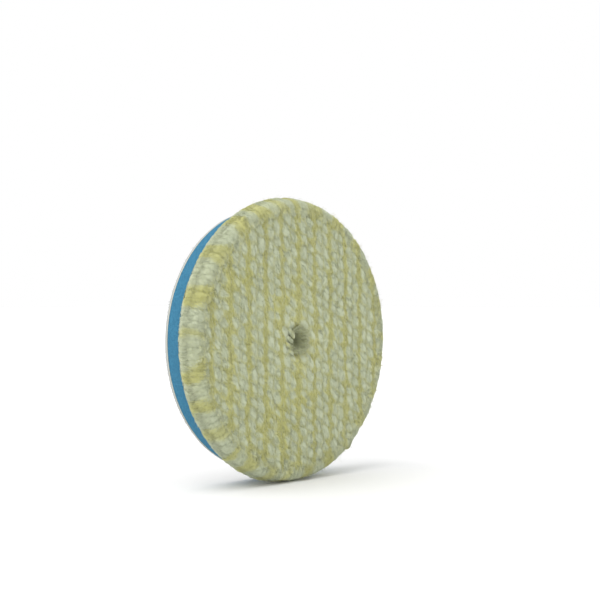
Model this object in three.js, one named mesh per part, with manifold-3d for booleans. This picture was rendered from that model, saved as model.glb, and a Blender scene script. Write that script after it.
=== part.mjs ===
// A 3-inch wool polishing pad for a small car polisher, standing on its rim.
// Millimetres, +Z up. The pad's axis runs along Y: the wool face looks towards -Y and the
// hook-and-loop back towards +Y. The origin is on the ground under the middle of the pad.
import * as THREE from 'three';
import { mergeVertices } from 'three/addons/utils/BufferGeometryUtils.js';
import Module from 'manifold-3d';

const wasm = await Module();
wasm.setup();

// ---- Driving dimensions ----
const LAYER_R = 37.5;        // radius of the foam and of the loop fabric
const WOOL_R = 41;           // widest radius of the wool, which bulges past the foam
const HOLE_R = 4.5;          // centre hole through the back layers
const NAP_T = 0.8;           // standing loops of the hook-and-loop fabric
const BASE_T = 0.7;          // knitted ground of the hook-and-loop fabric
const BOND_T = 0.25;         // adhesive film on each side of the foam
const FOAM_T = 5;            // foam interface
const KNIT_T = 1;            // knitted backing that holds the wool
const PILE_T = 8;            // wool from the knitted backing to the face
const KNIT_R = 36.8;         // the wool wraps over the cut edge of the knitted backing
const EDGE_GAP = 0.3;        // clearance between the wool's skirt and the layers inside it

const SKIRT_R = 38.4;        // wool radius where it meets the foam
const SHOULDER_R = 40.3;     // wool radius where the edge starts to round over
const EDGE_ROUND = 3.8;      // rounding between the side of the wool and its face
const DIMPLE_R = 3.1;        // centre hole inside the wool, narrower than the one behind it
const MOUTH_R = 5.6;         // radius of the dimple at the face
const MOUTH_DEPTH = 4;       // depth over which the dimple narrows

const ROWS = 12;             // knitted rows of tufts, six on each side of the axis
const ROW_PITCH = 6.75;      // spacing of the rows
const ROW_GAP = 0.3;         // parting between two rows
const ROW_ROUND = 1.5;       // rounding along the top edges of a row

const REST_FLAT = 0.8;       // how far the soft rim gives where the pad stands on it

const SEGMENTS = 72;         // sides of each full circle

// ---- Planes along the axis, from the back to the face ----
const THICKNESS = NAP_T + BASE_T + 2 * BOND_T + FOAM_T + KNIT_T + PILE_T;
const BACK_Y = THICKNESS / 2;
const NAP_Y = BACK_Y - NAP_T;
const BASE_Y = NAP_Y - BASE_T;
const REAR_BOND_Y = BASE_Y - BOND_T;
const FOAM_Y = REAR_BOND_Y - FOAM_T;
const FACE_BOND_Y = FOAM_Y - BOND_T;
const KNIT_Y = FACE_BOND_Y - KNIT_T;
const FACE_Y = KNIT_Y - PILE_T;
const AXIS_Z = WOOL_R - REST_FLAT;

// ---- Materials ----
const cloth = (color, roughness) =>
  new THREE.MeshStandardMaterial({ color, roughness, metalness: 0 });
const looks = {
  wool: cloth(0xd3d8b4, 0.95),
  knit: cloth(0xb9bda0, 0.9),
  film: cloth(0xd9d6c8, 0.5),
  foam: cloth(0x4a9cc4, 0.85),
  ground: cloth(0xc9cbc8, 0.8),
  nap: cloth(0xdfe0dc, 0.95),
};

const group = new THREE.Group();
group.name = 'polishing_pad';

function add(name, geometry, material) {
  const mesh = new THREE.Mesh(geometry, material);
  mesh.name = name;
  mesh.position.z = AXIS_Z;
  group.add(mesh);
}

// ---- Helpers ----
function toSolid(geometry) {
  const bare = geometry.clone();
  bare.deleteAttribute('normal');
  bare.deleteAttribute('uv');
  const merged = mergeVertices(bare, 1e-4);
  return new wasm.Manifold(new wasm.Mesh({
    numProp: 3,
    vertProperties: new Float32Array(merged.attributes.position.array),
    triVerts: new Uint32Array(merged.index.array),
  }));
}

function toGeometry(solid) {
  const mesh = solid.getMesh();
  const geometry = new THREE.BufferGeometry();
  geometry.setAttribute('position', new THREE.BufferAttribute(mesh.vertProperties, mesh.numProp));
  geometry.setIndex(new THREE.BufferAttribute(mesh.triVerts, 1));
  geometry.computeVertexNormals();
  return geometry;
}

// A flat ring around the pad's axis, from its face plane up to its back plane.
function ring(inner, outer, faceY, backY) {
  const profile = [
    new THREE.Vector2(inner, faceY),
    new THREE.Vector2(outer, faceY),
    new THREE.Vector2(outer, backY),
    new THREE.Vector2(inner, backY),
    new THREE.Vector2(inner, faceY),
  ];
  return new THREE.LatheGeometry(profile, SEGMENTS);
}

// The whole outline of the wool: bulging side, rounded edge, flat face and centre dimple.
// It also fills the place of the knitted backing, which is cut out of it afterwards.
function woolOutline() {
  const shoulderY = FACE_Y + EDGE_ROUND;
  const side = new THREE.QuadraticBezierCurve(
    new THREE.Vector2(SKIRT_R, FOAM_Y),
    new THREE.Vector2(2 * WOOL_R - (SKIRT_R + SHOULDER_R) / 2, (FOAM_Y + shoulderY) / 2),
    new THREE.Vector2(SHOULDER_R, shoulderY));
  const profile = side.getPoints(8);
  const edge = new THREE.EllipseCurve(
    SHOULDER_R - EDGE_ROUND, shoulderY, EDGE_ROUND, EDGE_ROUND, 0, -Math.PI / 2, true);
  profile.push(...edge.getPoints(4).slice(1));
  const mouth = new THREE.EllipseCurve(
    MOUTH_R, FACE_Y + MOUTH_DEPTH, MOUTH_R - DIMPLE_R, MOUTH_DEPTH, -Math.PI / 2, -Math.PI, true);
  profile.push(...mouth.getPoints(4));
  profile.push(new THREE.Vector2(DIMPLE_R, FOAM_Y));
  profile.push(profile[0].clone());
  profile.reverse();
  return new THREE.LatheGeometry(profile, SEGMENTS);
}

// A straight bar along Z whose two long edges on the face side are rounded.
function rowBar(leftX, rightX) {
  const left = leftX + ROW_ROUND;
  const right = rightX - ROW_ROUND;
  const topY = FACE_Y + ROW_ROUND;
  const section = new THREE.Shape();
  section.moveTo(leftX, FOAM_Y + 1);
  section.lineTo(leftX, topY);
  section.absarc(left, topY, ROW_ROUND, Math.PI, Math.PI * 1.5, false);
  section.lineTo(right, FACE_Y);
  section.absarc(right, topY, ROW_ROUND, Math.PI * 1.5, Math.PI * 2, false);
  section.lineTo(rightX, FOAM_Y + 1);
  section.closePath();
  const length = 2 * WOOL_R + 4;
  const options = { depth: length, bevelEnabled: false, curveSegments: 3 };
  return new THREE.ExtrudeGeometry(section, options).translate(0, 0, -length / 2);
}

// ---- Back layers ----
add('loop_nap', ring(HOLE_R, LAYER_R, NAP_Y, BACK_Y), looks.nap);
add('loop_ground', ring(HOLE_R, LAYER_R, BASE_Y, NAP_Y), looks.ground);
add('rear_bond_film', ring(HOLE_R, LAYER_R, REAR_BOND_Y, BASE_Y), looks.film);
add('foam_interface', ring(HOLE_R, LAYER_R, FOAM_Y, REAR_BOND_Y), looks.foam);
add('face_bond_film', ring(HOLE_R, KNIT_R, FACE_BOND_Y, FOAM_Y), looks.film);
add('knit_backing', ring(HOLE_R, KNIT_R, KNIT_Y, FACE_BOND_Y), looks.knit);

// ---- Wool, one solid for each knitted row of tufts ----
const roomR = KNIT_R + EDGE_GAP;
const roomDepth = FOAM_Y + 1 - KNIT_Y;
const room = new THREE.CylinderGeometry(roomR, roomR, roomDepth, SEGMENTS);
const backingRoom = toSolid(room.translate(0, KNIT_Y + roomDepth / 2, 0));
const rimSize = 2 * WOOL_R + 10;
const rimBlock = new THREE.BoxGeometry(rimSize, 2 * THICKNESS, rimSize);
const aboveRest = toSolid(rimBlock.translate(0, 0, rimSize / 2 - AXIS_Z));
const wool = toSolid(woolOutline()).subtract(backingRoom).intersect(aboveRest);

const outerEdge = WOOL_R + 1;
for (let i = 0; i < ROWS; i += 1) {
  const leftX = (i - ROWS / 2) * ROW_PITCH + ROW_GAP / 2;
  const rightX = (i + 1 - ROWS / 2) * ROW_PITCH - ROW_GAP / 2;
  const bar = rowBar(i === 0 ? -outerEdge : leftX, i === ROWS - 1 ? outerEdge : rightX);
  const number = String(i + 1).padStart(2, '0');
  add(`tuft_row_${number}`, toGeometry(wool.intersect(toSolid(bar))), looks.wool);
}

export default group;
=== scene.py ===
"""Visual model of the wool polishing pad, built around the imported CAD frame.

Metres in the scene; the builders below work in millimetres in the pad's own axes:
x across the rows, z along them (both from the pad's axis), y along the axis, face at low y.
"""
import math

import bpy
import numpy as np
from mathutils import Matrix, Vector
from mathutils.bvhtree import BVHTree


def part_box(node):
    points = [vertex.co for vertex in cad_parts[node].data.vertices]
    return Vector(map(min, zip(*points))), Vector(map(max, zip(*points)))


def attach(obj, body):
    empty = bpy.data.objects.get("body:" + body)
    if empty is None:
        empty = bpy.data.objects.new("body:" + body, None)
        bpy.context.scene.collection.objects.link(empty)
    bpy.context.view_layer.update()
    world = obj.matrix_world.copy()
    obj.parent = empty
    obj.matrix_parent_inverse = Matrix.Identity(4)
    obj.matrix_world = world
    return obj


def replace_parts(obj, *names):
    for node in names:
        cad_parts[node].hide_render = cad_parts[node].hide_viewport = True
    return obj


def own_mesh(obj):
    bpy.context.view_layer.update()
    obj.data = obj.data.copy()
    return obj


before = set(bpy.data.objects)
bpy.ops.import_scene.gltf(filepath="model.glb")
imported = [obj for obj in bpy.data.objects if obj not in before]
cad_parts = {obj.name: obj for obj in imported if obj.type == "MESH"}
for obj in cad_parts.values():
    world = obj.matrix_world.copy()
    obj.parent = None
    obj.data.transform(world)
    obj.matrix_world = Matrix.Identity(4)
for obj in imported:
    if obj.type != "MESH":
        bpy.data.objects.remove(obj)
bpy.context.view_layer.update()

MM = 0.001
TAU = 2 * math.pi
rng = np.random.default_rng(20)

# ---- Sizes read from the frame ----
ROWS = sorted(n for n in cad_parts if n.startswith("tuft_row_"))


def box_mm(node):
    low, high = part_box(node)
    return np.array(low) / MM, np.array(high) / MM


foam_low, foam_high = box_mm("foam_interface")
knit_low, knit_high = box_mm("knit_backing")
ground_low, ground_high = box_mm("loop_ground")
rows_low = np.min([box_mm(n)[0] for n in ROWS], axis=0)
rows_high = np.max([box_mm(n)[1] for n in ROWS], axis=0)

AXIS_Z = (foam_low[2] + foam_high[2]) / 2      # height of the pad's axis above the ground
LAYER_R = (foam_high[0] - foam_low[0]) / 2
KNIT_R = (knit_high[0] - knit_low[0]) / 2
WOOL_R = (rows_high[0] - rows_low[0]) / 2
FACE_Y = rows_low[1]
KNIT_Y = knit_low[1]
FOAM_Y = foam_low[1]
FOAM_BACK_Y = foam_high[1]
NAP_Y = box_mm("loop_nap")[0][1]
PITCH = box_mm(ROWS[len(ROWS) // 2 + 1])[0][0] - box_mm(ROWS[len(ROWS) // 2])[0][0]
ROW_CENTRES = (np.arange(len(ROWS)) + 0.5 - len(ROWS) / 2) * PITCH
HOLE_R = 4.5             # hole through the layers behind the wool
SHOULDER_R = 40.3        # wool radius where its edge starts to round over
EDGE_ROUND = 3.8         # rounding between the side of the wool and its face
FACE_R = SHOULDER_R - EDGE_ROUND
SKIRT_R = LAYER_R + 0.1  # wool radius where it meets the foam
LOOP_CLOTH_R = LAYER_R - 0.1
BULGE_R = 42.0           # where the curve of the wool's side is pulled to
BULGE_DEPTH = 3.85       # and how far in front of the foam that is
HOLE_INSIDE = 2.2        # usual radius of the centre hole inside the wool
HOLE_MOUTH = 2.7         # and at the face
HOLE_RAGGED = 0.30       # unevenness of that radius
HOLE_PRESS = 0.7         # how softly the wool is pushed out of the hole
DIMPLE_DEPTH = 1.2       # how far the wool sinks at the centre hole
DIMPLE_RADII = (6.2, 2.4)  # radii where the sinking starts and where it is full
GROUND_GAP = 0.10        # lowest wool above the ground
GROUND_PRESS = 3.0       # how sharply the wool flattens there, per mm

# ---- Knit ----
SUB = 1.55               # distance of each column of tufts from the middle of its row
STEP = 3.7               # spacing of the tufts along a row
LEAN = math.radians(30)  # slant of the tufts on the face
HALF_WIDE = 1.45         # half sizes of one tuft on the face
HALF_LONG = 2.5
SIZE_RANGE = (0.82, 1.22)  # uneven sizes of the tufts
UNEVEN_X = 0.45          # uneven places of the tufts, across and along their row
UNEVEN_Z = 0.7
UNEVEN_LEAN = 0.35       # uneven slant, in radians
ROW_SHIFT = 1.37         # shift of each row's tufts against those of the row before
PAST_FACE = 2.8          # how far the tufts go on past the flat of the face
AXIS_CLEAR = 2.4         # no tuft starts nearer to the axis than this
CROWD_R = 4.0            # the tufts nearest to the axis are pushed out to about this radius,
CROWD_REACH = 9.0        # and those out to here a little

# ---- Locks ----
LOCK_WIDE = 1.25         # size of a lock over the size of its tuft
LOCK_LONG = 1.08
TOP_LOCKS = (0.30, 1.35, 11)    # sunk below the face, grown, noise seed
UNDER_LOCKS = (0.42, 2.1, 61)   # wider ones underneath, which make the grooves shallow
RIM_SINK = 0.65          # face locks lie deeper where the face rounds over
RIM_SHRINK = 0.22
LOCK_CLEAR = 1.2         # gap left between a lock's end and the axis
SIDE_LOCKS = 150         # locks round the side, and the same number round the rim
SIDE_DEPTH = 1.25        # depth of their middle line below the outline
SIDE_HALF = 1.75         # their half width round the pad

# ---- Strands ----
FACE_STRANDS = 16        # for each tuft
ROW_FILLING = 5200
TUFT_FILLING = 6500
HOLE_STRANDS = 700
SIDE_STRANDS = 16000
SKIRT_STRANDS = 2600
HAZE_STRANDS = 13000
STRAY_FIBRES = 6000
RAY_START = 4.0          # strands are laid down from this height over the outline,
RAY_REACH = 7.0          # along rays of this length
DEEPEST = -2.6           # and never lower than this
NO_LOCK = -1.2           # where there is no lock below
FOAM_CLEAR = 0.17        # gap between the foam's side and the wool ends that hang over it
STRAND_GROUND = 0.06     # lowest strand above the ground

# ---- Yellow and white wool ----
YELLOW_PATCH = (2.5, 6.0)       # widths of the patches on the side
WHITE_PATCH = (3.5, 7.5)
YELLOW_TINT = (0.7, 1.0)        # how yellow they are
WHITE_TINT = (0.0, 0.12)
RIM_BLEND = 1.8          # the face's pattern turns into the side's over this length each way
RIM_PAINTED_SHADE = 0.15          # painted shade of the wool on the side, from 0 (as in the grooves) to 1 (as on top of the tufts)
MAP_STEP = 0.25          # grid of the maps of the unrolled face
MAP_HALF = 46.0
MAP_CHUNK = 6000         # points worked out at one time


# ---- Noise ----
def lattice(ix, iy, iz, seed):
    """A repeatable value from -1 to 1 for each point of the integer lattice."""
    h = (ix * 374761393 + iy * 668265263 + iz * 2147483647 + seed * 1274126177) & 0xFFFFFFFF
    h = ((h ^ (h >> 13)) * 1274126177) & 0xFFFFFFFF
    h = ((h ^ (h >> 16)) * 2246822519) & 0xFFFFFFFF
    return ((h ^ (h >> 15)) & 0xFFFF) / 32767.5 - 1.0


def noise(p, seed=0):
    """Smooth value noise from -1 to 1 at each point of p, whose lattice step is 1."""
    p = np.asarray(p, float)
    cell = np.floor(p).astype(np.int64)
    f = p - cell
    f = f * f * f * (f * (f * 6 - 15) + 10)
    total = 0.0
    for dx in (0, 1):
        wx = f[..., 0] if dx else 1 - f[..., 0]
        for dy in (0, 1):
            wy = f[..., 1] if dy else 1 - f[..., 1]
            for dz in (0, 1):
                wz = f[..., 2] if dz else 1 - f[..., 2]
                value = lattice(cell[..., 0] + dx, cell[..., 1] + dy, cell[..., 2] + dz, seed)
                total = total + value * wx * wy * wz
    return total


def stack(*parts):
    return np.stack(np.broadcast_arrays(*parts), axis=-1)


def smoothstep(low, high, x):
    t = np.clip((x - low) / (high - low), 0, 1)
    return t * t * (3 - 2 * t)


# ---- Mesh making ----
def new_mesh(name, verts, faces, material, attributes=None):
    """A mesh object from arrays. faces is a list of index arrays, one array for each face size."""
    mesh = bpy.data.meshes.new(name)
    verts = np.asarray(verts, np.float32).reshape(-1, 3).copy()
    verts[:, 2] += AXIS_Z
    verts *= MM
    faces = [np.asarray(f, np.int32) for f in faces if len(f)]
    loops = np.concatenate([f.ravel() for f in faces])
    sizes = np.concatenate([np.full(len(f), f.shape[1], np.int32) for f in faces])
    starts = np.concatenate([[0], np.cumsum(sizes)[:-1]]).astype(np.int32)
    mesh.vertices.add(len(verts))
    mesh.vertices.foreach_set("co", verts.ravel())
    mesh.loops.add(len(loops))
    mesh.loops.foreach_set("vertex_index", loops)
    mesh.polygons.add(len(sizes))
    mesh.polygons.foreach_set("loop_start", starts)
    for key, values in (attributes or {}).items():
        values = np.asarray(values, np.float32)
        if values.ndim == 2:
            layer = mesh.attributes.new(key, "FLOAT_VECTOR", "POINT")
            layer.data.foreach_set("vector", values.ravel())
        else:
            layer = mesh.attributes.new(key, "FLOAT", "POINT")
            layer.data.foreach_set("value", values.ravel())
    mesh.update(calc_edges=True)
    mesh.validate()
    mesh.polygons.foreach_set("use_smooth", np.full(len(mesh.polygons), True))
    mesh.materials.append(material)
    obj = bpy.data.objects.new(name, mesh)
    bpy.context.scene.collection.objects.link(obj)
    return obj


def tube_faces(count, rings, sides, pole):
    """Faces of count tubes of rings x sides points, open at the first ring.

    The last ring closes on the pole point that follows each tube, if pole.
    """
    per = rings * sides + (1 if pole else 0)
    r, s = np.meshgrid(np.arange(rings - 1), np.arange(sides), indexing="ij")
    a = r * sides + s
    b = r * sides + (s + 1) % sides
    quads = np.stack([a, b, b + sides, a + sides], -1).reshape(-1, 4)
    base = (np.arange(count) * per)[:, None, None]
    quads = (quads[None] + base).reshape(-1, 4)
    if not pole:
        return [quads]
    s = np.arange(sides)
    last = (rings - 1) * sides
    fan = np.stack([last + s, last + (s + 1) % sides, np.full(sides, rings * sides)], -1)
    return [quads, (fan[None] + base).reshape(-1, 3)]


# ---- Materials ----
def node_material(name):
    m = bpy.data.materials.new(name)
    m.use_nodes = True
    nt = m.node_tree
    shader = nt.nodes["Principled BSDF"]
    return m, nt, shader


def add_node(nt, kind, **inputs):
    node = nt.nodes.new(kind)
    for key, value in inputs.items():
        node.inputs[key.replace("_", " ")].default_value = value
    return node


def attribute(nt, name):
    node = nt.nodes.new("ShaderNodeAttribute")
    node.attribute_name = name
    return node


def mix_color(nt, factor, a, b, blend="MIX"):
    node = nt.nodes.new("ShaderNodeMix")
    node.data_type = "RGBA"
    node.blend_type = blend
    for socket, value in ((node.inputs[0], factor), (node.inputs[6], a), (node.inputs[7], b)):
        if hasattr(value, "is_linked"):
            nt.links.new(value, socket)
        else:
            socket.default_value = value
    return node.outputs[2]


def ramp(nt, source, stops):
    node = nt.nodes.new("ShaderNodeValToRGB")
    elements = node.color_ramp.elements
    while len(elements) < len(stops):
        elements.new(0.5)
    for e, (at, value) in zip(elements, stops):
        e.position = at
        e.color = (value, value, value, 1) if np.isscalar(value) else (*value, 1)
    nt.links.new(source, node.inputs["Fac"])
    return node.outputs["Color"]


WHITE_WOOL = ((0.515, 0.563, 0.400, 1), (0.565, 0.608, 0.428, 1))
YELLOW_WOOL = ((0.515, 0.515, 0.185, 1), (0.563, 0.558, 0.230, 1))
# Deep colour: partly the yellow yarn lying deep in the pile, partly painted bounce light that warms and
# lifts the shaded grooves.
DEEP_YARN_AND_PAINTED_BOUNCE = (0.58, 0.57, 0.24, 1)
WOOL_PAINTED_SHADE = (0.93, 0.99)       # painted shade: colour factor in the grooves, and on top of the tufts
WOOL_STREAKS = 0.90             # the darkest fibres of a strand


def wool_material(name, bump_height):
    """Undyed and yellow wool; each point says how yellow it is, how deep it lies (deep points take the
    deep colour, partly painted bounce light) and how light its painted shade is.
    """
    m, nt, shader = node_material(name)
    yellow = attribute(nt, "yellow").outputs["Fac"]
    depth = attribute(nt, "depth").outputs["Fac"]
    tone = attribute(nt, "tone").outputs["Fac"]
    strand = attribute(nt, "strand").outputs["Vector"]
    fine = add_node(nt, "ShaderNodeTexNoise", Scale=1.0, Detail=3.0, Roughness=0.6)
    nt.links.new(strand, fine.inputs["Vector"])
    coords = nt.nodes.new("ShaderNodeTexCoord")
    cloud = add_node(nt, "ShaderNodeTexNoise", Scale=170.0, Detail=2.0)
    nt.links.new(coords.outputs["Object"], cloud.inputs["Vector"])
    white = mix_color(nt, cloud.outputs["Fac"], *WHITE_WOOL)
    golden = mix_color(nt, cloud.outputs["Fac"], *YELLOW_WOOL)
    surface = mix_color(nt, yellow, white, golden)
    # Deep points take the deep colour: partly yellow yarn, partly painted bounce light in the grooves.
    shaded = mix_color(nt, depth, surface, DEEP_YARN_AND_PAINTED_BOUNCE)
    # Painted shade: the colour is darkened in the grooves and lightened on top of the tufts.
    light = ramp(nt, tone, [(0.0, WOOL_PAINTED_SHADE[0]), (1.0, WOOL_PAINTED_SHADE[1])])
    streak = ramp(nt, fine.outputs["Fac"], [(0.3, WOOL_STREAKS), (0.7, 1.0)])
    toned = mix_color(nt, 1.0, shaded, light, "MULTIPLY")
    nt.links.new(mix_color(nt, 1.0, toned, streak, "MULTIPLY"), shader.inputs["Base Color"])
    if bump_height:
        bump = add_node(nt, "ShaderNodeBump", Strength=0.5, Distance=bump_height)
        nt.links.new(fine.outputs["Fac"], bump.inputs["Height"])
        nt.links.new(bump.outputs["Normal"], shader.inputs["Normal"])
    shader.inputs["Roughness"].default_value = 0.92
    shader.inputs["Specular IOR Level"].default_value = 0.15
    shader.inputs["Sheen Weight"].default_value = 0.2
    shader.inputs["Sheen Roughness"].default_value = 0.5
    return m


def yarn_material(name, dark, light):
    """Cloudy synthetic yarn between two colours."""
    m, nt, shader = node_material(name)
    coords = nt.nodes.new("ShaderNodeTexCoord")
    cloud = add_node(nt, "ShaderNodeTexNoise", Scale=900.0, Detail=2.0)
    nt.links.new(coords.outputs["Object"], cloud.inputs["Vector"])
    tone = mix_color(nt, cloud.outputs["Fac"], (*dark, 1), (*light, 1))
    nt.links.new(tone, shader.inputs["Base Color"])
    shader.inputs["Roughness"].default_value = 0.8
    shader.inputs["Specular IOR Level"].default_value = 0.2
    shader.inputs["Sheen Weight"].default_value = 0.2
    return m


def foam_material():
    """Blue open-cell foam in a cloudy dye, with painted shade: dark pores and lighter walls."""
    m, nt, shader = node_material("blue_foam")
    coords = nt.nodes.new("ShaderNodeTexCoord")
    cells = add_node(nt, "ShaderNodeTexVoronoi", Scale=2600.0)
    nt.links.new(coords.outputs["Object"], cells.inputs["Vector"])
    pores = ramp(nt, cells.outputs["Distance"], [(0.15, 0.0), (0.6, 1.0)])
    cloud = add_node(nt, "ShaderNodeTexNoise", Scale=320.0, Detail=4.0)
    nt.links.new(coords.outputs["Object"], cloud.inputs["Vector"])
    tone = mix_color(nt, cloud.outputs["Fac"], (0.024, 0.135, 0.245, 1), (0.040, 0.18, 0.30, 1))
    # Painted shade: the pores take the darker blue, the walls between them the lighter one.
    colour = mix_color(nt, pores, tone, (0.052, 0.21, 0.34, 1))
    nt.links.new(colour, shader.inputs["Base Color"])
    bump = add_node(nt, "ShaderNodeBump", Strength=0.6, Distance=0.0002)
    nt.links.new(pores, bump.inputs["Height"])
    nt.links.new(bump.outputs["Normal"], shader.inputs["Normal"])
    shader.inputs["Roughness"].default_value = 0.85
    shader.inputs["Specular IOR Level"].default_value = 0.2
    return m


CLOTH_RIBS = 900.0       # ribs of the knitted cloths, and courses across them
CLOTH_COURSES = 1.35


def cloth_material(name, dark, light):
    """Fine knitted cloth: ribs one way and courses the other, over a cloudy colour."""
    m, nt, shader = node_material(name)
    coords = nt.nodes.new("ShaderNodeTexCoord")
    wave_x = add_node(nt, "ShaderNodeTexWave", Scale=CLOTH_RIBS, Distortion=0.6)
    wave_x.bands_direction = "X"
    wave_z = add_node(nt, "ShaderNodeTexWave", Scale=CLOTH_RIBS * CLOTH_COURSES, Distortion=0.6)
    wave_z.bands_direction = "Z"
    for wave in (wave_x, wave_z):
        nt.links.new(coords.outputs["Object"], wave.inputs["Vector"])
    weave = mix_color(nt, 1.0, wave_x.outputs["Color"], wave_z.outputs["Color"], "MULTIPLY")
    cloud = add_node(nt, "ShaderNodeTexNoise", Scale=150.0, Detail=3.0)
    nt.links.new(coords.outputs["Object"], cloud.inputs["Vector"])
    tone = mix_color(nt, cloud.outputs["Fac"], (*dark, 1), (*light, 1))
    shaded = mix_color(nt, 1.0, tone, (0.7, 0.7, 0.7, 1), "MULTIPLY")
    colour = mix_color(nt, weave, shaded, tone)
    nt.links.new(colour, shader.inputs["Base Color"])
    bump = add_node(nt, "ShaderNodeBump", Strength=0.6, Distance=0.0002)
    nt.links.new(weave, bump.inputs["Height"])
    nt.links.new(bump.outputs["Normal"], shader.inputs["Normal"])
    shader.inputs["Roughness"].default_value = 0.85
    return m


def film_material():
    """Pale, slightly uneven adhesive film."""
    m, nt, shader = node_material("adhesive_film")
    coords = nt.nodes.new("ShaderNodeTexCoord")
    cloud = add_node(nt, "ShaderNodeTexNoise", Scale=260.0, Detail=3.0)
    nt.links.new(coords.outputs["Object"], cloud.inputs["Vector"])
    tone = mix_color(nt, cloud.outputs["Fac"], (0.55, 0.54, 0.44, 1), (0.70, 0.69, 0.60, 1))
    nt.links.new(tone, shader.inputs["Base Color"])
    rough = ramp(nt, cloud.outputs["Fac"], [(0.2, 0.35), (0.8, 0.6)])
    nt.links.new(rough, shader.inputs["Roughness"])
    return m


lock_wool = wool_material("wool_locks", 0.0001)
strand_wool = wool_material("wool_strands", 0)


# ---- Outline of the wool ----
def wool_profile():
    """Radius and height along the outside of the wool, from the foam to the middle of the face."""
    shoulder_y = FACE_Y + EDGE_ROUND
    t = np.linspace(0, 1, 40)[:, None]
    bulge = np.array([BULGE_R, FOAM_Y - BULGE_DEPTH])
    side = (1 - t) ** 2 * np.array([SKIRT_R, FOAM_Y]) + 2 * t * (1 - t) * bulge \
        + t ** 2 * np.array([SHOULDER_R, shoulder_y])
    turn = np.linspace(0, math.pi / 2, 20)[1:]
    edge = stack(FACE_R + EDGE_ROUND * np.cos(turn), shoulder_y - EDGE_ROUND * np.sin(turn))
    face = stack(np.linspace(FACE_R, 0, 60)[1:], FACE_Y)
    return np.concatenate([side, edge, face])


profile = wool_profile()
profile_s = np.concatenate([[0], np.cumsum(np.linalg.norm(np.diff(profile, axis=0), axis=1))])
profile_slope = np.gradient(profile, profile_s, axis=0)
profile_slope /= np.linalg.norm(profile_slope, axis=1, keepdims=True)
LENGTH = profile_s[-1]           # from the foam over the side and the face to the axis
FACE_START = LENGTH - FACE_R     # where the rounded edge becomes the flat face


def on_outline(s, phi, lift=0.0):
    """Points at a distance s along the outline from the foam, at an angle phi, standing lift off it."""
    s, phi, lift = np.broadcast_arrays(s, phi, lift)
    r = np.interp(s, profile_s, profile[:, 0])
    y = np.interp(s, profile_s, profile[:, 1]) - np.minimum(s, 0)
    normal = outline_normal(s, phi)
    return stack(r * np.cos(phi), y, r * np.sin(phi)) + normal * lift[..., None]


def outline_normal(s, phi):
    slope_r = np.interp(s, profile_s, profile_slope[:, 0])
    slope_y = np.interp(s, profile_s, profile_slope[:, 1])
    return stack(-slope_y * np.cos(phi), slope_r, -slope_y * np.sin(phi))


def unrolled(x, z):
    """Distance along the outline and angle of a point of the face.

    The face is unrolled flat past its rounded edge.
    """
    return LENGTH - np.hypot(x, z), np.arctan2(z, x)


def hole_profile(y):
    """Radius of the centre hole at each height: narrow inside, wider at the face."""
    return HOLE_INSIDE + (HOLE_MOUTH - HOLE_INSIDE) * smoothstep(FACE_Y + 6.5, FACE_Y - 0.5, y)


def hole_radius(p):
    """The same at each point, made ragged."""
    phi = np.arctan2(p[..., 2], p[..., 0])
    ragged = noise(stack(np.cos(phi) * 1.6, np.sin(phi) * 1.6, p[..., 1] * 0.25), 7)
    return hole_profile(p[..., 1]) + HOLE_RAGGED * ragged


def settle(p):
    """Keeps wool out of the centre hole, and presses it flat where the pad stands."""
    rho = np.hypot(p[..., 0], p[..., 2])
    radius = hole_radius(p)
    grown = radius + np.logaddexp(0, (rho - radius) / HOLE_PRESS) * HOLE_PRESS
    scale = np.where(rho < radius + 3, grown / np.maximum(rho, 1e-3), 1.0)
    out = p * stack(scale, np.ones_like(scale), scale)
    ground = -AXIS_Z + GROUND_GAP
    above = (out[..., 2] - ground) * GROUND_PRESS
    out[..., 2] = ground + np.logaddexp(0, above) / GROUND_PRESS
    return out


def dimple(p):
    """Sinks the wool towards the centre hole, most of all at the face."""
    rho = np.hypot(p[..., 0], p[..., 2])
    near_face = smoothstep(FACE_Y + 6.0, FACE_Y + 0.5, p[..., 1])
    sink = DIMPLE_DEPTH * smoothstep(*DIMPLE_RADII, rho) * near_face
    return p + stack(0, sink, 0)


# ---- Places of the tufts ----
def jitter(n, size):
    """n random values from -size to size."""
    return rng.uniform(-size, size, n)


def tuft_places():
    """Two staggered columns of leaning tufts on each knitted row, crowded round the centre hole."""
    xs, zs, rows = [], [], []
    for i, centre in enumerate(ROW_CENTRES):
        for side in (-1, 1):
            stagger = STEP / 2 if side > 0 else 0
            z = np.arange(-MAP_HALF, MAP_HALF, STEP) + stagger + (i * ROW_SHIFT) % STEP
            xs.append(np.full(len(z), centre + side * SUB))
            zs.append(z)
            rows.append(np.full(len(z), i))
    x, z, row = np.concatenate(xs), np.concatenate(zs), np.concatenate(rows)
    x, z = x + jitter(len(x), UNEVEN_X), z + jitter(len(z), UNEVEN_Z)
    rho = np.hypot(x, z)
    keep = (rho < FACE_R + PAST_FACE) & (rho > AXIS_CLEAR)
    x, z, row, rho = x[keep], z[keep], row[keep], rho[keep]
    push = np.sqrt(rho ** 2 + CROWD_R ** 2 * np.exp(-(rho / CROWD_REACH) ** 2)) / rho
    return x * push, z * push, row


tuft_x, tuft_z, tuft_row = tuft_places()
TUFTS = len(tuft_x)
tuft_lean = LEAN + jitter(TUFTS, UNEVEN_LEAN) \
    + UNEVEN_LEAN * noise(stack(tuft_x / 14, tuft_z / 14, 0 * tuft_x), 17)
tuft_size = rng.uniform(*SIZE_RANGE, TUFTS)


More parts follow.
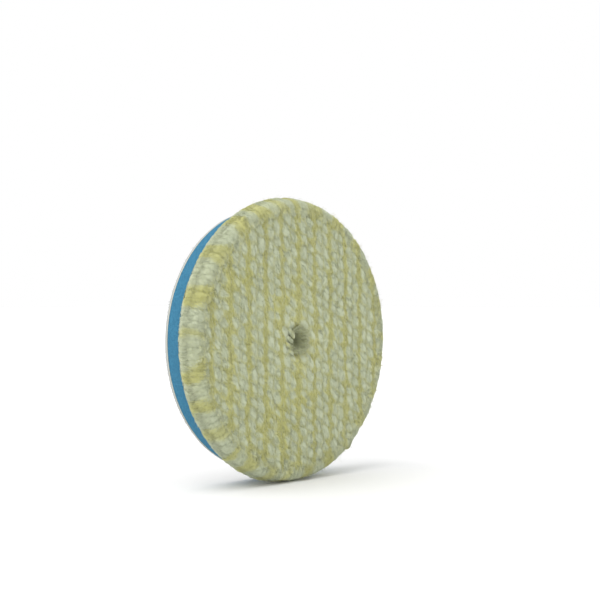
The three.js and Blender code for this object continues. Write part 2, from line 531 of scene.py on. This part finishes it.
def tuft_distances(x, z):
    """For each point: how far it is from the nearest tuft, where 1 is the edge of that tuft, how
    much further the next tuft is, and how much further the nearest tuft of another row is.
    """
    shape = x.shape
    x, z = x.ravel(), z.ravel()
    first, second, other = (np.empty(len(x)) for _ in range(3))
    for start in range(0, len(x), MAP_CHUNK):
        part = slice(start, start + MAP_CHUNK)
        dx, dz = x[part, None] - tuft_x, z[part, None] - tuft_z
        along = (dx * np.sin(tuft_lean) - dz * np.cos(tuft_lean)) / (HALF_LONG * tuft_size)
        across = (dx * np.cos(tuft_lean) + dz * np.sin(tuft_lean)) / (HALF_WIDE * tuft_size)
        far = np.sqrt(along ** 2 + across ** 2)
        two = np.partition(far, 1, axis=1)[:, :2]
        first[part], second[part] = two[:, 0], two[:, 1]
        by_row = [far[:, tuft_row == r].min(axis=1) for r in range(len(ROWS))]
        by_row = np.stack(by_row, axis=1)
        other[part] = np.partition(by_row, 1, axis=1)[:, 1] - by_row.min(axis=1)
    return first.reshape(shape), (second - first).reshape(shape), other.reshape(shape)


map_axis = np.arange(-MAP_HALF, MAP_HALF + MAP_STEP, MAP_STEP)
map_x, map_z = np.meshgrid(map_axis, map_axis, indexing="ij")
wobble_at = stack(map_x / 1.7, map_z / 1.7, 0 * map_x)
near_map, next_map, other_map = tuft_distances(
    map_x + 0.35 * noise(wobble_at, 5), map_z + 0.35 * noise(wobble_at, 6))


def sample(table, x, z):
    """Bilinear value of a map of the unrolled face."""
    u, v = (np.clip((c + MAP_HALF) / MAP_STEP, 0, len(map_axis) - 1.001) for c in (x, z))
    i, j = u.astype(int), v.astype(int)
    f, g = u - i, v - j
    return (table[i, j] * (1 - f) + table[i + 1, j] * f) * (1 - g) \
        + (table[i, j + 1] * (1 - f) + table[i + 1, j + 1] * f) * g


def face_yellow(x, z):
    """The yellow yarn shows between two rows, and a little between the tufts of one row."""
    patch = noise(stack(x / 9.0, z / 9.0, 0 * x), 3)
    line = 1 - smoothstep(0.35 + 0.35 * patch, 1.55 + 0.35 * patch, sample(other_map, x, z))
    between = 1 - smoothstep(0.05, 0.60, sample(next_map, x, z))
    return np.clip(line * (0.9 + 0.3 * patch) + 0.45 * between, 0, 1)


def side_patches():
    """Angles where the yellow and the white patches of the side change, and the colour of each."""
    edges = [0.0]
    colours = []
    angle = 0.0
    yellow = True
    while angle < TAU:
        angle += rng.uniform(*(YELLOW_PATCH if yellow else WHITE_PATCH)) / WOOL_R
        edges.append(angle)
        colours.append(rng.uniform(*(YELLOW_TINT if yellow else WHITE_TINT)))
        yellow = not yellow
    return np.array(edges), np.array(colours)


patch_edges, patch_colours = side_patches()


def side_yellow(s, phi):
    """How yellow the side is: soft-edged patches that run from the foam to the face."""
    wander = 0.050 * noise(stack(np.cos(phi) * 7, np.sin(phi) * 7, s / 6.5), 41) \
        + 0.022 * noise(stack(np.cos(phi) * 22, np.sin(phi) * 22, s / 5.0), 42)
    shifted = (phi + wander + 0.004 * s) % TAU
    found = np.searchsorted(patch_edges, shifted, side="right") - 1
    found = np.clip(found, 0, len(patch_colours) - 1)
    inside = np.minimum(shifted - patch_edges[found], patch_edges[found + 1] - shifted) * WOOL_R
    value = patch_colours[found]
    return 0.45 + (value - 0.45) * smoothstep(-0.9, 1.3, inside)


def on_rim(s):
    """From 0 on the face to 1 on the side."""
    return smoothstep(FACE_START + RIM_BLEND, FACE_START - RIM_BLEND, s)


def tuft_painted_shade(s, phi):
    """How light the painted shade makes the wool: the middle of each tuft is painted lighter than the
    groove round it, where shade falls.
    """
    rho = LENGTH - s
    rim = on_rim(s)
    middle = 1 - smoothstep(0.15, 1.05, sample(near_map, rho * np.cos(phi), rho * np.sin(phi)))
    return middle * (1 - rim) + RIM_PAINTED_SHADE * rim


def wool_yellow(s, phi):
    """How yellow the wool is, anywhere on the outline."""
    rho = LENGTH - s
    rim = on_rim(s)
    face = face_yellow(rho * np.cos(phi), rho * np.sin(phi))
    return side_yellow(s, phi) * rim + face * (1 - rim)


# ---- Wool locks ----
class Locks:
    """Locks of wool bent from root over bend to tip, closed at the tip and open at the hidden root.

    across is the two directions across each lock and half its two half widths. rings is the
    number of rings of the body and of the rounded tip, and dome the share of the tip.
    """

    def __init__(self, root, bend, tip, half, across, rings, sides, dome, seed, relief=1.0):
        n = len(root)
        body = np.linspace(0, 1, rings[0], endpoint=False) ** 0.8
        round_off = np.sin(np.linspace(0, math.pi / 2, rings[1] + 1)[:-1])
        t = np.concatenate([body * (1 - dome), 1 - dome + dome * round_off])
        narrow = 0.80 + 0.20 * smoothstep(0, 0.7, body)
        shrink = np.concatenate([narrow, (1 - round_off ** 1.7) ** (1 / 1.7)])
        u = t[None, :, None, None]
        path = (1 - u) ** 2 * root[:, None, None] + 2 * u * (1 - u) * bend[:, None, None] \
            + u ** 2 * tip[:, None, None]
        theta = np.linspace(0, TAU, sides, endpoint=False)[None, None, :]
        turned = theta + rng.uniform(0.8, 2.2, n)[:, None, None] * t[None, :, None] \
            + rng.uniform(0, TAU, n)[:, None, None]
        tag = (np.arange(n) * 7.31)[:, None, None]
        t_ring = t[None, :, None]
        combed = noise(stack(np.cos(turned) * 3.2, np.sin(turned) * 3.2, t_ring * 3.0 + tag), seed)
        lump = noise(stack(np.cos(theta) * 0.9, np.sin(theta) * 0.9, t_ring * 4.0 + tag), seed + 2)
        ring = shrink[None, :, None] * (1 + relief * (0.07 * combed + 0.16 * lump))
        a = (half[0][:, None, None] * np.cos(theta) * ring)[..., None]
        b = (half[1][:, None, None] * np.sin(theta) * ring)[..., None]
        points = path + a * across[0][:, None, None] + b * across[1][:, None, None]
        self.points = np.concatenate([points.reshape(n, -1, 3), tip[:, None]], axis=1)
        fibres = stack(np.cos(turned) * 7.0, np.sin(turned) * 7.0, t_ring * 3.5 + tag)
        fibre_ends = stack(np.zeros(n), np.zeros(n), 3.5 + tag[:, 0, 0])
        self.strand = np.concatenate([fibres.reshape(n, -1, 3), fibre_ends[:, None]], axis=1)
        self.rings, self.sides, self.count, self.tip = len(t), sides, n, tip


def face_locks(sunk, grow, seed):
    """A lock under each tuft, from the knitted backing to sunk mm below the face.

    It is grow times the tuft's size, except near the rim.
    """
    s, phi = unrolled(tuft_x, tuft_z)
    usual = TOP_LOCKS[1]
    grow = usual + (grow - usual) * smoothstep(FACE_START - 0.5, FACE_START + 4.0, s)
    long_dir = stack(np.sin(tuft_lean), 0, -np.cos(tuft_lean))
    wide_dir = stack(np.cos(tuft_lean), 0, np.sin(tuft_lean))
    rim = smoothstep(FACE_START + 3.0, FACE_START - 2.5, s)
    top = on_outline(s, phi, -sunk - RIM_SINK * rim - rng.uniform(0.0, 0.25, TUFTS))
    half_wide = HALF_WIDE * LOCK_WIDE
    half_long = HALF_LONG * LOCK_LONG
    clear = np.hypot(tuft_x, tuft_z) - LOCK_CLEAR
    grow = np.minimum(grow * (1 - RIM_SHRINK * rim), clear / (half_long * tuft_size))
    normal = outline_normal(s, phi)
    rho = np.hypot(top[:, 0], top[:, 2])
    squeeze = np.minimum(1, (KNIT_R - 2.4) / rho)
    root = stack(top[:, 0] * squeeze, KNIT_Y, top[:, 2] * squeeze)
    flat = np.abs(normal[:, 1:2])
    tip = top + long_dir * 0.9 * flat
    bend = top - normal * 3.0 - long_dir * 0.5 * flat
    long_dir = long_dir - normal * np.sum(long_dir * normal, axis=1, keepdims=True)
    wide_dir = wide_dir - normal * np.sum(wide_dir * normal, axis=1, keepdims=True)
    half = (half_wide * grow * tuft_size, half_long * grow * tuft_size)
    return Locks(root, bend, tip, half, (wide_dir, long_dir), (6, 8), 24, 0.20, seed)


def side_locks():
    """Locks combed along the side, from the foam up to the rounded edge of the face."""
    count = SIDE_LOCKS
    phi = (np.arange(count) + jitter(count, 0.25)) / count * TAU
    out = stack(np.cos(phi), 0, np.sin(phi))
    along = stack(-np.sin(phi), 0, np.cos(phi))
    end = phi + jitter(count, 0.02)
    reach = rng.uniform(0.72, 0.90, count) * FACE_START
    root = out * (SKIRT_R - 0.9) + stack(0, FOAM_Y - 0.15 + jitter(count, 0.12), 0)
    depth = -SIDE_DEPTH + jitter(count, 0.06)
    middle = on_outline(np.full(count, 0.33 * FACE_START), (phi + end) / 2, depth)
    tip = on_outline(reach, end, -2.2)
    half = (np.full(count, SIDE_HALF), np.full(count, 1.25))
    bend = 2 * middle - (root + tip) / 2
    return Locks(root, bend, tip, half, (along, out), (9, 5), 14, 0.16, 31, 0.6)


def rim_locks():
    """Locks that curl over the rounded edge, from the side on to the face."""
    count = SIDE_LOCKS
    phi = (np.arange(count) + jitter(count, 0.3)) / count * TAU
    along = stack(-np.sin(phi), 0, np.cos(phi))
    root = on_outline(np.full(count, 0.34 * FACE_START), phi, -1.3)
    depth = -SIDE_DEPTH + jitter(count, 0.06)
    middle = on_outline(np.full(count, 0.75 * FACE_START), phi, depth)
    tip = on_outline(FACE_START + rng.uniform(0.8, 2.6, count), phi + jitter(count, 0.02), -1.3)
    out = outline_normal(np.full(count, 0.74 * FACE_START), phi)
    half = (np.full(count, SIDE_HALF), np.full(count, 1.15))
    bend = 2 * middle - (root + tip) / 2
    return Locks(root, bend, tip, half, (along, out), (9, 5), 14, 0.14, 81, 0.5)


def tip_locks():
    """Slender tips of the tufts beside the centre hole, which lean over its left edge."""
    root = np.array([(-4.3, 1.3, 3.6), (-5.2, 1.3, 1.4), (-5.4, 1.3, -0.6), (-4.8, 1.3, -2.6)])
    tip = np.array([(-1.5, 1.0, 0.5), (-2.1, 1.1, -0.9), (-2.0, 1.2, -2.4), (-1.7, 1.2, -4.0)])
    root = root + np.array([0, FACE_Y, 0])
    tip = tip + np.array([0, FACE_Y, 0])
    n = len(root)
    run = (tip - root) / np.linalg.norm(tip - root, axis=1, keepdims=True)
    out = np.tile([0.0, -1.0, 0.0], (n, 1))
    half = (np.full(n, 0.72), np.full(n, 0.60))
    bend = (root + tip) / 2 + out * 0.7
    return Locks(root, bend, tip, half, (np.cross(run, out), out), (8, 5), 14, 0.35, 91, 0.6)


def lock_tints(locks):
    """How yellow each point of the locks is, how deep it lies (for the deep colour, partly painted
    bounce light) and how light its painted shade is.
    """
    p = locks.points
    rho, phi = np.hypot(p[..., 0], p[..., 2]), np.arctan2(p[..., 2], p[..., 0])
    on_side = smoothstep(FACE_R - 1.5, FACE_R + 1.5, rho)
    shoulder_y = FACE_Y + EDGE_ROUND
    turn = np.arctan2(np.clip(shoulder_y - p[..., 1], 0, None), np.clip(rho - FACE_R, 1e-3, None))
    down_side = np.clip(FOAM_Y - np.maximum(p[..., 1], shoulder_y), 0, None) + EDGE_ROUND * turn
    s = down_side * on_side + (LENGTH - rho) * (1 - on_side)
    below = np.clip(p[..., 1] - FACE_Y, 0, None) * (1 - on_side)
    in_side = np.interp(p[..., 1], profile[::-1, 1], profile[::-1, 0]) - rho
    # Deep colour where a point lies below the face or inside the side's outline: partly yellow yarn,
    # partly painted bounce light.
    depth = 0.9 * smoothstep(0.6, 2.2, below) + 0.55 * smoothstep(0.75, 1.6, in_side) * on_side
    # Painted shade of the grooves and tufts, with a random spread for each lock.
    tone = tuft_painted_shade(s, phi) + jitter(locks.count, 0.15)[:, None]
    return wool_yellow(s, phi), np.clip(depth, 0, 1), np.clip(tone, 0, 1)


lock_sets = [face_locks(*TOP_LOCKS), face_locks(*UNDER_LOCKS), side_locks(), rim_locks()]
for locks in lock_sets:
    locks.points = settle(dimple(locks.points))
lock_sets.append(tip_locks())


def make_surface():
    """A search tree over all the locks, for laying strands on them."""
    verts, faces, offset = [], [], 0
    for locks in lock_sets:
        quads, fans = tube_faces(locks.count, locks.rings, locks.sides, True)
        verts.append(locks.points.reshape(-1, 3))
        faces += (quads + offset).tolist() + (fans + offset).tolist()
        offset += len(verts[-1])
    return BVHTree.FromPolygons(np.concatenate(verts).tolist(), faces)


surface = make_surface()


# ---- Wool strands ----
def lay(s, phi, lift, bridging=2):
    """Lays strands over the locks: s, phi and lift are (n, k), the places along each strand.

    bridging is how often the strand is lifted over the gaps between higher places.
    """
    base = on_outline(s, phi)
    normal = outline_normal(s, phi)
    starts = (base + normal * RAY_START).reshape(-1, 3).tolist()
    downs = (-normal).reshape(-1, 3).tolist()
    off = np.empty(s.size)
    for i, (start, down) in enumerate(zip(starts, downs)):
        distance = surface.ray_cast(start, down, RAY_REACH)[3]
        off[i] = NO_LOCK if distance is None else max(RAY_START - distance, DEEPEST)
    off = off.reshape(s.shape)
    for _ in range(bridging):
        ahead = np.concatenate([off[:, 1:], off[:, -1:]], axis=1)
        behind = np.concatenate([off[:, :1], off[:, :-1]], axis=1)
        off = np.maximum(off, 0.5 * off + 0.25 * (ahead + behind))
    return base + normal * (off + lift)[..., None]


def face_strands(per):
    """Strands that come up between the tufts and lie over them, combed the way each tuft leans."""
    which = np.repeat(np.arange(TUFTS), per)
    n = len(which)
    t = np.linspace(0, 1, 6)[None]
    u0 = rng.uniform(-1.25, 0.75, n)[:, None] * HALF_LONG
    v0 = rng.uniform(-1.15, 1.15, n)[:, None] * HALF_WIDE
    length = rng.uniform(2.0, 3.8, n)[:, None]
    u = u0 + length * t
    v = v0 * (1 - 0.40 * t) + jitter(n, 0.45)[:, None] * t \
        + 0.35 * np.sin(t * 5 + jitter(n, 3.0)[:, None])
    lean = tuft_lean[which][:, None]
    x = tuft_x[which][:, None] + u * np.sin(lean) + v * np.cos(lean)
    z = tuft_z[which][:, None] - u * np.cos(lean) + v * np.sin(lean)
    s, phi = unrolled(x, z)
    lift = -0.35 + rng.uniform(0.31, 0.37, n)[:, None] * smoothstep(0, 0.35, t) \
        - rng.uniform(0.0, 0.12, n)[:, None] * smoothstep(0.6, 1.0, t)
    middle = unrolled(x[:, 3], z[:, 3])
    return lay(s, phi, lift), rng.uniform(0.12, 0.21, n), wool_yellow(*middle), tuft_painted_shade(*middle)


def haze_strands(count):
    """Thin curly fibres lying every way over the face, which blur the edges of the tufts."""
    t = np.linspace(0, 1, 6)[None]
    rho = HOLE_MOUTH + 1.6 + (FACE_R - HOLE_MOUTH) * np.sqrt(rng.uniform(0, 1, count))
    around = rng.uniform(0, TAU, count)
    turn = LEAN + rng.normal(size=count)[:, None] * 0.45 \
        + 0.5 * np.sin(t * 5 + jitter(count, 3.0)[:, None])
    run = rng.uniform(1.4, 3.0, count)[:, None] * (t - 0.5)
    x = (rho * np.cos(around))[:, None] + run * np.sin(turn)
    z = (rho * np.sin(around))[:, None] - run * np.cos(turn)
    s, phi = unrolled(x, z)
    lift = -0.06 + rng.uniform(0.06, 0.16, count)[:, None] * np.sin(t * math.pi)
    middle = (s[:, 3], phi[:, 3])
    return lay(s, phi, lift, 3), rng.uniform(0.07, 0.12, count), wool_yellow(*middle), tuft_painted_shade(*middle)


def side_strands(count):
    """Strands combed along the side from the foam, the last ones curling over towards the face."""
    t = np.linspace(0, 1, 7)[None]
    phi0 = rng.uniform(0, TAU, count)[:, None]
    start = rng.uniform(0.12, FACE_START - 3.5, count)[:, None]
    limit = FACE_START - rng.uniform(-2.2, 3.2, count)[:, None]
    length = np.minimum(rng.uniform(3.0, 7.0, count)[:, None], limit - start)
    s = start + length * t
    lean = 0.12 * noise(stack(np.cos(phi0) * 5, np.sin(phi0) * 5, start / 6), 71) \
        + jitter(count, 0.04)[:, None]
    phi = phi0 + lean * t * length / 8.0 + 0.004 * np.sin(t * 6 + jitter(count, 3.0)[:, None])
    lift = -0.35 + rng.uniform(0.31, 0.38, count)[:, None] * smoothstep(0, 0.3, t) \
        + rng.uniform(-0.15, 0.02, count)[:, None] * smoothstep(0.55, 1.0, t)
    yellow = wool_yellow(s[:, 3], phi[:, 3])
    return lay(s, phi, lift), rng.uniform(0.10, 0.16, count), yellow, np.full(count, RIM_PAINTED_SHADE)


def filling_strands(count, table, reach, length, yellow):
    """Strands lying in the grooves of a map of the face, so that no gap between tufts is bare."""
    x, z = jitter(count * 12, FACE_R + 3), jitter(count * 12, FACE_R + 3)
    rho = np.hypot(x, z)
    inside = (sample(table, x, z) < reach) & (rho < FACE_R + 0.8) & (rho > HOLE_MOUTH + 0.3)
    x, z = x[inside][:count], z[inside][:count]
    n = len(x)
    t = np.linspace(0, 1, 6)[None]
    run = rng.uniform(*length, n)[:, None]
    turn = jitter(n, 0.35)[:, None] + 0.30 * np.sin(6 * t + jitter(n, 3.0)[:, None])
    x = x[:, None] + run * (t - 0.5) * np.sin(turn + 0.12)
    z = z[:, None] - run * (t - 0.5) * np.cos(turn + 0.12)
    s, phi = unrolled(x, z)
    lift = -0.55 + 0.52 * np.sin(t * math.pi) ** 0.5 + 0 * x
    # The last value is the painted shade of these strands, between that of the grooves and of the tufts'
    # tops.
    return lay(s, phi, lift, 4), rng.uniform(0.20, 0.34, n), np.full(n, yellow), np.full(n, 0.45)


def hole_strands(count):
    """Strands that line the centre hole and curl over its mouth."""
    t = np.linspace(0, 1, 7)[None]
    phi0 = rng.uniform(0, TAU, count)
    phi = phi0[:, None] + jitter(count, 0.25)[:, None] * t
    start = rng.uniform(0.0, 0.6, count)[:, None]
    along = start + (1 - start) * t
    y = KNIT_Y + (FACE_Y + 0.35 - KNIT_Y) * np.minimum(along * 1.12, 1.0)
    flare = smoothstep(0.6, 1.0, along) ** 1.5
    r = hole_profile(y) - 0.05 + flare * rng.uniform(0.3, 1.9, count)[:, None]
    y = y - 0.25 * flare
    p = stack(r * np.cos(phi), y + jitter(count, 0.12)[:, None], r * np.sin(phi))
    # Painted shade: the strands that line the hole are made nearly as dark as the grooves.
    return p, rng.uniform(0.22, 0.36, count), np.full(count, 0.30), np.full(count, 0.10)


def skirt_strands(count):
    """Short ends of the wool that hang over the edge of the foam."""
    t = np.linspace(0, 1, 4)[None]
    phi = rng.uniform(0, TAU, count)[:, None] + jitter(count, 0.012)[:, None] * t
    clump = noise(stack(np.cos(phi[:, :1]) * 30, np.sin(phi[:, :1]) * 30, 0), 72)
    reach = rng.uniform(0.15, 0.65, count)[:, None] * (0.75 + 0.45 * clump)
    s = 1.6 * (1 - t) - reach * t
    bulge = rng.uniform(-0.25, 0.35, count)[:, None] * np.sin(t * 2.4) + 0.05
    p = on_outline(s, phi) + stack(bulge * np.cos(phi), 0, bulge * np.sin(phi))
    off_foam = np.maximum(1, (LAYER_R + FOAM_CLEAR) / np.hypot(p[..., 0], p[..., 2]))
    p = p * stack(off_foam, 1, off_foam)
    return p, rng.uniform(0.10, 0.18, count), side_yellow(s[:, 1], phi[:, 1]), np.full(count, RIM_PAINTED_SHADE)


def stray_fibres(count):
    """Fine curly fibres that stand off the surface and soften the outline."""
    on_face = rng.uniform(0, 1, count) < 0.45
    phi = rng.uniform(0, TAU, count)
    s_face = LENGTH - np.sqrt(rng.uniform(0, 1, count)) * FACE_R
    s_side = rng.uniform(0, FACE_START + 1, count)
    s = np.where(on_face, s_face, s_side)
    root = lay(s[:, None], phi[:, None], np.full((count, 1), -0.1))[:, 0]
    normal = outline_normal(s, phi)
    step = normal * rng.uniform(0.01, 0.09, count)[:, None] + rng.normal(size=(count, 3)) * 0.10 \
        + np.where(on_face[:, None], np.array([0.10, 0, -0.20]), np.array([0, -0.18, 0]))
    curl = rng.normal(size=(count, 5, 3)) * 0.10
    k = np.arange(5)[None, :, None]
    p = root[:, None] + step[:, None] * k + np.cumsum(curl, axis=1) * (k > 0)
    # Painted shade: these fibres are made nearly as light as the tops of the tufts.
    return p, rng.uniform(0.05, 0.08, count), wool_yellow(s, phi), np.full(count, 0.8)


def tubes(path, thickness, sides=3):
    """Tapering tubes along each path of points; the last point of a path is its pole."""
    tangent = np.gradient(path, axis=1)
    tangent /= np.maximum(np.linalg.norm(tangent, axis=-1, keepdims=True), 1e-9)
    aside = np.cross(tangent, rng.normal(size=(len(path), 1, 3)))
    aside /= np.maximum(np.linalg.norm(aside, axis=-1, keepdims=True), 1e-9)
    above = np.cross(tangent, aside)
    t = np.linspace(0, 1, path.shape[1])[None, :-1, None, None]
    angle = (np.arange(sides) / sides * TAU)[None, None, :, None]
    ring = np.cos(angle) * aside[:, :-1, None] + np.sin(angle) * above[:, :-1, None]
    radius = thickness[:, None, None, None] / 2 * (1.0 - 0.65 * t ** 2)
    points = path[:, :-1, None] + radius * ring
    return np.concatenate([points.reshape(len(path), -1, 3), path[:, -1:]], axis=1)


def strand_sets():
    """All the strands as tubes, with what their points say for the material."""
    pieces = [
        face_strands(FACE_STRANDS),
        filling_strands(ROW_FILLING, other_map, 0.85, (2.2, 4.2), 0.90),
        filling_strands(TUFT_FILLING, next_map, 0.25, (1.4, 2.6), 0.45),
        hole_strands(HOLE_STRANDS),
        side_strands(SIDE_STRANDS),
        skirt_strands(SKIRT_STRANDS),
        haze_strands(HAZE_STRANDS),
        stray_fibres(STRAY_FIBRES),
    ]
    in_hole = 3          # the set that lines the hole, which is in its place already
    made = []
    for index, (path, thickness, yellow, light) in enumerate(pieces):
        n = len(path)
        points = tubes(path if index == in_hole else settle(path), thickness)
        points[..., 2] = np.maximum(points[..., 2], -AXIS_Z + STRAND_GROUND)
        yellow = np.clip(yellow + jitter(n, 0.14), 0, 1)[:, None] + 0 * points[..., 0]
        # Painted shade of each strand: its set's level, with a random spread.
        tone = np.clip(light + jitter(n, 0.12), 0, 1)[:, None] + 0 * points[..., 0]
        along = np.linspace(0, 2.0, points.shape[1])[None] + (np.arange(n) * 3.17)[:, None]
        strand = stack(along, 0.37 * (np.arange(n) % 97)[:, None], 0)
        made.append((path[:, -1, 0], points, path.shape[1] - 1, 3, yellow, 0 * yellow, tone, strand))
    return made


# ---- Wool pieces, one of each kind for each knitted row ----
def row_piece(name, sets, index, material):
    """Joins the locks or strands whose tips lie in one row."""
    centre = ROW_CENTRES[index]
    verts = []
    quads = []
    fans = []
    offset = 0
    # depth brings in the deep colour, partly painted bounce light; tone is the painted shade.
    values = {"yellow": [], "depth": [], "tone": [], "strand": []}
    for where, points, rings, sides, yellow, depth, tone, strand in sets:
        mine = np.abs(where - centre) <= PITCH / 2
        if index == 0:
            mine |= where < centre
        if index == len(ROWS) - 1:
            mine |= where > centre
        if not mine.any():
            continue
        body, tips = tube_faces(int(mine.sum()), rings, sides, True)
        quads.append(body + offset)
        fans.append(tips + offset)
        verts.append(points[mine].reshape(-1, 3))
        offset += len(verts[-1])
        for key, value in (("yellow", yellow), ("depth", depth), ("tone", tone)):
            values[key].append(value[mine].ravel())
        values["strand"].append(strand[mine].reshape(-1, 3))
    faces = [np.concatenate(quads), np.concatenate(fans)]
    attributes = {key: np.concatenate(value) for key, value in values.items()}
    piece = new_mesh(name, np.concatenate(verts), faces, material, attributes)
    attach(piece, "face")
    return piece


def build_wool():
    """The wool of each row: its tufts, which replace the CAD row, and its strands."""
    locks_made = []
    for k in lock_sets:
        locks_made.append((k.tip[:, 0], k.points, k.rings, k.sides, *lock_tints(k), k.strand))
    strands_made = strand_sets()
    for index, node in enumerate(ROWS):
        number = node[-2:]
        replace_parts(row_piece("wool_tufts_" + number, locks_made, index, lock_wool), node)
        row_piece("wool_strands_" + number, strands_made, index, strand_wool)


build_wool()


# ---- Layers behind the wool ----
def lathe(name, profile, material, segments, ripple):
    """A ring turned round the pad's axis from a closed profile of (radius, y), ripple mm uneven."""
    profile = np.array(profile, float)
    angle = np.arange(segments) / segments * TAU
    r = profile[None, :, 0] + ripple * noise(
        stack(np.cos(angle)[:, None] * 9, np.sin(angle)[:, None] * 9, profile[None, :, 1] * 0.8), 51)
    points = stack(r * np.cos(angle)[:, None], profile[None, :, 1], r * np.sin(angle)[:, None])
    per = len(profile)
    i, j = np.meshgrid(np.arange(segments), np.arange(per), indexing="ij")
    here = i * per
    beside = ((i + 1) % segments) * per
    above = (j + 1) % per
    quads = np.stack([here + j, here + above, beside + above, beside + j], -1)
    return new_mesh(name, points, [quads.reshape(-1, 4)], material)


def ring_profile(inner, outer, front, back, soft, steps=4):
    """A rectangle whose corners are rounded to a radius of soft."""
    corners = [(outer - soft, front + soft, -90), (outer - soft, back - soft, 0),
               (inner + soft, back - soft, 90), (inner + soft, front + soft, 180)]
    profile = []
    for r, y, start in corners:
        for k in range(steps + 1):
            a = math.radians(start + 90 * k / steps)
            profile.append((r + soft * math.cos(a), y + soft * math.sin(a)))
    return profile


foam = lathe("foam_cushion", ring_profile(HOLE_R, LAYER_R, FOAM_Y, FOAM_BACK_Y, 0.35, 5),
             foam_material(), 256, 0.05)
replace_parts(foam, "foam_interface")
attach(foam, "back")

knit = lathe("knit_cloth", ring_profile(HOLE_R, KNIT_R, KNIT_Y, knit_high[1], 0.3),
             cloth_material("knit_cloth", (0.42, 0.43, 0.28), (0.55, 0.56, 0.38)), 192, 0.05)
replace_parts(knit, "knit_backing")
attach(knit, "face")

ground = lathe("loop_cloth", ring_profile(HOLE_R, LOOP_CLOTH_R, ground_low[1], ground_high[1], 0.2),
               cloth_material("loop_cloth", (0.50, 0.52, 0.51), (0.64, 0.66, 0.64)), 256, 0.06)
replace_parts(ground, "loop_ground")
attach(ground, "back")

film = film_material()
for film_node in ("rear_bond_film", "face_bond_film"):
    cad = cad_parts[film_node]
    cad.data.materials.clear()
    cad.data.materials.append(film)


LOOP_PITCH = 0.80        # spacing of the loops in a row
LOOP_ROW = 0.866         # spacing of the rows over that of the loops
LOOP_R = 0.055           # radius of the yarn
LOOP_SUNK = 0.05         # depth of the loops' feet in the cloth


def loop_nap():
    """Small standing loops over the back of the loop cloth."""
    rows_n = int(2 * LAYER_R / (LOOP_PITCH * LOOP_ROW)) + 2
    grid = []
    for i in range(rows_n):
        z = -LAYER_R + i * LOOP_PITCH * LOOP_ROW
        xs = np.arange(-LAYER_R, LAYER_R, LOOP_PITCH) + (LOOP_PITCH / 2 if i % 2 else 0)
        grid.append(stack(xs, np.full(len(xs), z)))
    grid = np.concatenate(grid)
    grid = grid + rng.uniform(-0.16, 0.16, grid.shape)
    rho = np.hypot(grid[:, 0], grid[:, 1])
    grid = grid[(rho < LAYER_R - 0.5) & (rho > HOLE_R + 0.5)]
    n = len(grid)
    turn = rng.uniform(0, TAU, n)
    span = rng.uniform(0.28, 0.42, n)
    height = rng.uniform(0.55, 0.78, n)
    lean = rng.normal(size=(n, 2)) * 0.16
    t = np.linspace(0, math.pi, 7)[None]
    along = np.cos(t) * span[:, None]
    up = np.sin(t) ** 0.7
    wide = 1 + 0.35 * np.sin(t) ** 2
    centre = stack(grid[:, :1] + np.cos(turn)[:, None] * along * wide + lean[:, :1] * up,
                   NAP_Y - LOOP_SUNK + up * height[:, None],
                   grid[:, 1:] + np.sin(turn)[:, None] * along * wide + lean[:, 1:] * up)
    tangent = np.gradient(centre, axis=1)
    tangent /= np.linalg.norm(tangent, axis=-1, keepdims=True)
    side = stack(-np.sin(turn)[:, None] + 0 * t, 0 * t + np.zeros((n, 1)), np.cos(turn)[:, None] + 0 * t)
    normal = np.cross(tangent, side)
    angle = (np.arange(3) / 3 * TAU)[None, None, :, None]
    ring = np.cos(angle) * side[:, :, None] + np.sin(angle) * normal[:, :, None]
    points = centre[:, :, None] + LOOP_R * ring
    piece = new_mesh("loop_pile", points.reshape(-1, 3), tube_faces(n, 7, 3, False),
                     yarn_material("loop_yarn", (0.60, 0.62, 0.60), (0.74, 0.76, 0.74)))
    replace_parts(piece, "loop_nap")
    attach(piece, "back")


loop_nap()


# ---- Stage ----
def floor_material():
    """Plain pale floor."""
    m, nt, shader = node_material("floor")
    shader.inputs["Base Color"].default_value = (0.86, 0.86, 0.86, 1)
    shader.inputs["Roughness"].default_value = 0.9
    shader.inputs["Specular IOR Level"].default_value = 0.1
    return m


bpy.ops.mesh.primitive_plane_add(size=12)
floor = bpy.context.object
floor.name = "floor"
floor.location = (0, 0, 0)
floor.data.materials.append(floor_material())

world = bpy.data.worlds.new("studio")
bpy.context.scene.world = world
world.use_nodes = True
world.node_tree.nodes["Background"].inputs["Color"].default_value = (1, 1, 1, 1)
world.node_tree.nodes["Background"].inputs["Strength"].default_value = 1.0


# ---- Camera and light ----
VIEW_RIGHT = Vector((0.6741, -0.7387, 0.0)).normalized()
VIEW_AHEAD = Vector((0.7387, 0.6741, 0.0)).normalized()
UP = Vector((0, 0, 1))
OFFSET = (-6.7, 11.4, 346.3)     # right, down and ahead of the camera, to the middle of the foam's front

camera_data = bpy.data.cameras.new("camera")
camera_data.lens = 72
camera_data.sensor_width = 36
camera_data.clip_start = 0.01
camera_data.clip_end = 50
camera = bpy.data.objects.new("camera", camera_data)
bpy.context.scene.collection.objects.link(camera)
foam_middle = Vector((0, FOAM_Y, AXIS_Z))
spot = foam_middle - VIEW_RIGHT * OFFSET[0] + UP * OFFSET[1] - VIEW_AHEAD * OFFSET[2]
camera.location = spot * MM
camera.rotation_mode = "QUATERNION"
camera.rotation_quaternion = VIEW_AHEAD.to_track_quat("-Z", "Y")
bpy.context.scene.camera = camera

sun_data = bpy.data.lights.new("soft_sun", "SUN")
sun_data.energy = 1.3
sun_data.angle = math.radians(50)
sun = bpy.data.objects.new("soft_sun", sun_data)
bpy.context.scene.collection.objects.link(sun)
sun.rotation_mode = "QUATERNION"
shine = VIEW_RIGHT * 0.45 - UP + VIEW_AHEAD * 0.45
sun.rotation_quaternion = shine.to_track_quat("-Z", "Y")
bpy.context.scene.view_settings.view_transform = "Standard"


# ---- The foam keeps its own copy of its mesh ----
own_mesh(foam)
